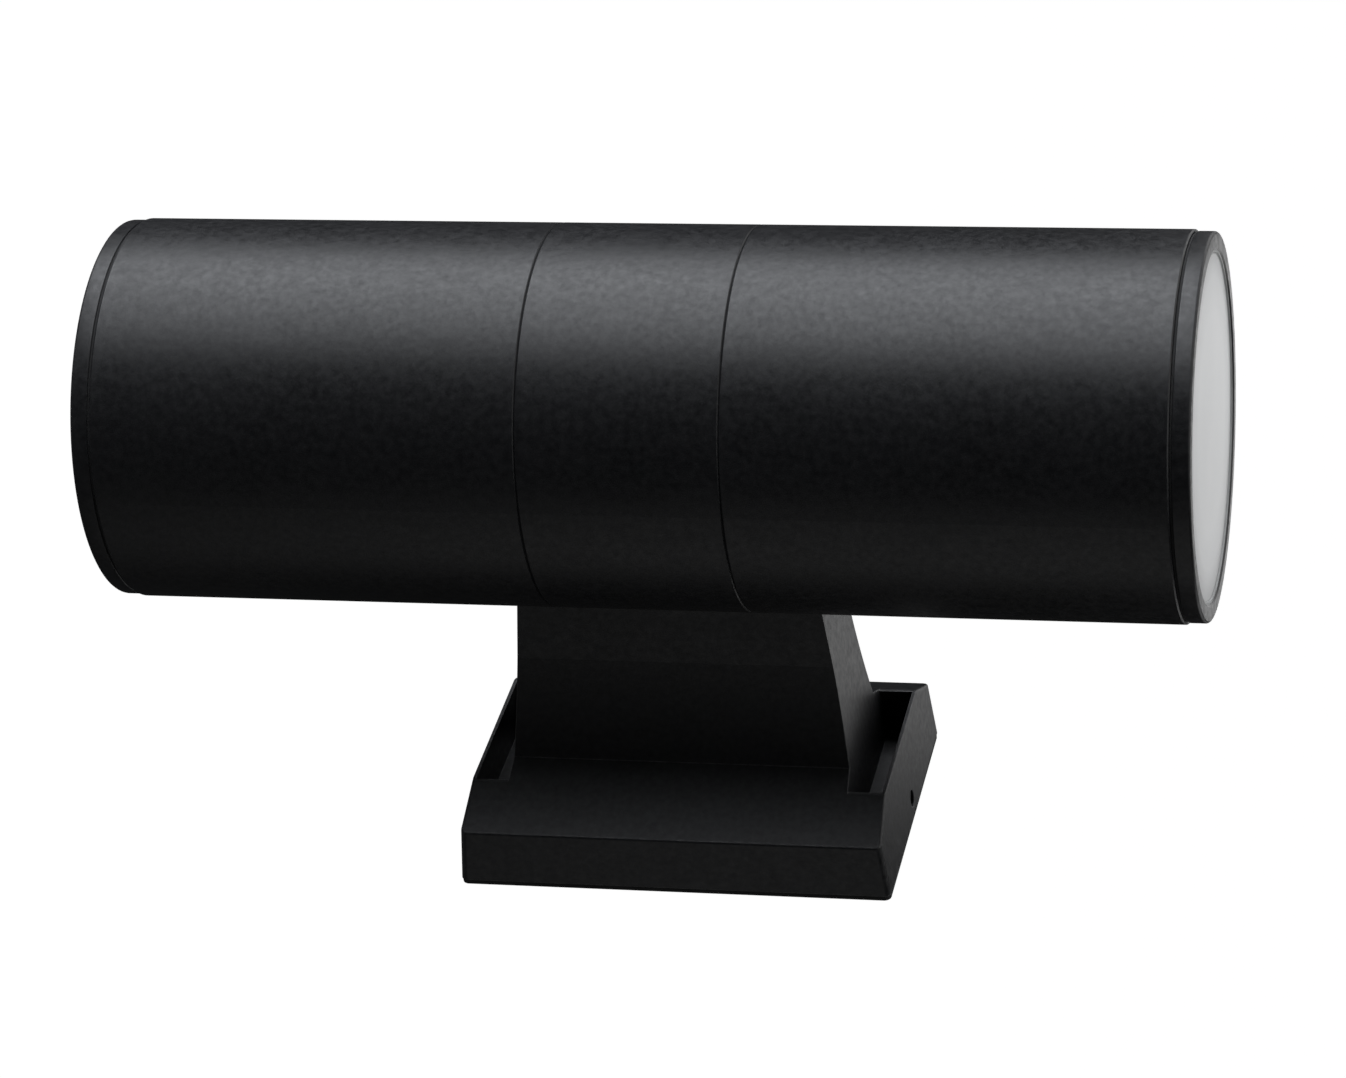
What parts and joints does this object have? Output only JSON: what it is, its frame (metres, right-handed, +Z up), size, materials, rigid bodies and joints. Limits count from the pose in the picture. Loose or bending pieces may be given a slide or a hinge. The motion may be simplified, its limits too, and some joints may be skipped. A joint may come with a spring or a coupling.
{
  "type": "tube wall light",
  "caption": "Up-and-down tube wall light: a black tube on a hollow cast neck and wall base, with screwed end rings over frosted glass at both ends.",
  "frame": {"origin": "centre of the back face of the wall pad, midway between the two wall-screw slots", "axes": "+Z up along the tube, +Y into the wall, so the light stands out from the wall along -Y, +X to the right of someone who faces the wall"},
  "size_m": [0.108, 0.1863, 0.31],
  "materials": {
    "black_coat": "fine-textured black powder coat on aluminium",
    "frosted_glass": "frosted tempered glass",
    "black_rubber": "matt black rubber",
    "grey_silicone": "grey silicone",
    "zinc_steel": "bright zinc-plated sheet steel",
    "steel_screw": "stainless screws",
    "black_screw": "blackened steel set screws",
    "white_ceramic": "glazed porcelain",
    "nickel_plate": "nickel-plated brass",
    "brass": "plain brass",
    "white_retainer": "natural aluminium",
    "lamp_white": "white painted aluminium lamp body",
    "black_glass": "black glass insulator",
    "solder": "tinned contact",
    "lamp_lens": "frosted lens",
    "ivory_plastic": "ivory moulded plastic"
  },
  "bodies": {
    "fixture": {"wall_pad": "black_rubber", "wall_bracket": "zinc_steel", "cable_grommet": "black_rubber", "terminal_block": "ivory_plastic", "terminal_screws": "brass", "earth_tag": "zinc_steel", "earth_screw": "steel_screw", "base_casting": "black_coat", "side_screws": "black_screw", "neck_gasket": "black_rubber", "neck_screws": "steel_screw", "centre_housing": "black_coat", "upper_tube": "black_coat", "upper_joint_seal": "black_rubber", "upper_holder_bracket": "zinc_steel", "upper_holder_screws": "steel_screw", "upper_lampholder": "white_ceramic", "upper_holder_shell": "nickel_plate", "upper_holder_contact": "brass", "upper_lamp_body": "lamp_white", "upper_lamp_lens": "lamp_lens", "upper_lamp_cap": "nickel_plate", "upper_lamp_insulator": "black_glass", "upper_lamp_tip": "solder", "lower_tube": "black_coat", "lower_joint_seal": "black_rubber", "lower_holder_bracket": "zinc_steel", "lower_holder_screws": "steel_screw", "lower_lampholder": "white_ceramic", "lower_holder_shell": "nickel_plate", "lower_holder_contact": "brass", "lower_lamp_body": "lamp_white", "lower_lamp_lens": "lamp_lens", "lower_lamp_cap": "nickel_plate", "lower_lamp_insulator": "black_glass", "lower_lamp_tip": "solder"},
    "upper_seal": {"upper_ring_seal": "black_rubber"},
    "upper_cap": {"upper_end_ring": "black_coat", "upper_glass": "frosted_glass", "upper_glass_gasket": "grey_silicone", "upper_glass_retainer": "white_retainer"},
    "lower_seal": {"lower_ring_seal": "black_rubber"},
    "lower_cap": {"lower_end_ring": "black_coat", "lower_glass": "frosted_glass", "lower_glass_gasket": "grey_silicone", "lower_glass_retainer": "white_retainer"}
  },
  "joints": [
    {"name": "upper_ring_lift", "type": "slide", "parent": "fixture", "child": "upper_seal", "axis": [0, 0, 1], "range_m": [0, 0.009]},
    {"name": "upper_ring_turn", "type": "hinge", "parent": "upper_seal", "child": "upper_cap", "pos_m": [0, -0.1323, 0.1475], "axis": [0, 0, 1], "range_deg": [0, 2160]},
    {"name": "lower_ring_lift", "type": "slide", "parent": "fixture", "child": "lower_seal", "axis": [0, 0, -1], "range_m": [0, 0.009]},
    {"name": "lower_ring_turn", "type": "hinge", "parent": "lower_seal", "child": "lower_cap", "pos_m": [0, -0.1323, -0.1475], "axis": [0, 0, -1], "range_deg": [0, 2160]}
  ],
  "couplings": [
    {"joint": "upper_ring_lift", "follows": "upper_ring_turn", "m_per_rad": 0.00023873},
    {"joint": "lower_ring_lift", "follows": "lower_ring_turn", "m_per_rad": 0.00023873}
  ]
}
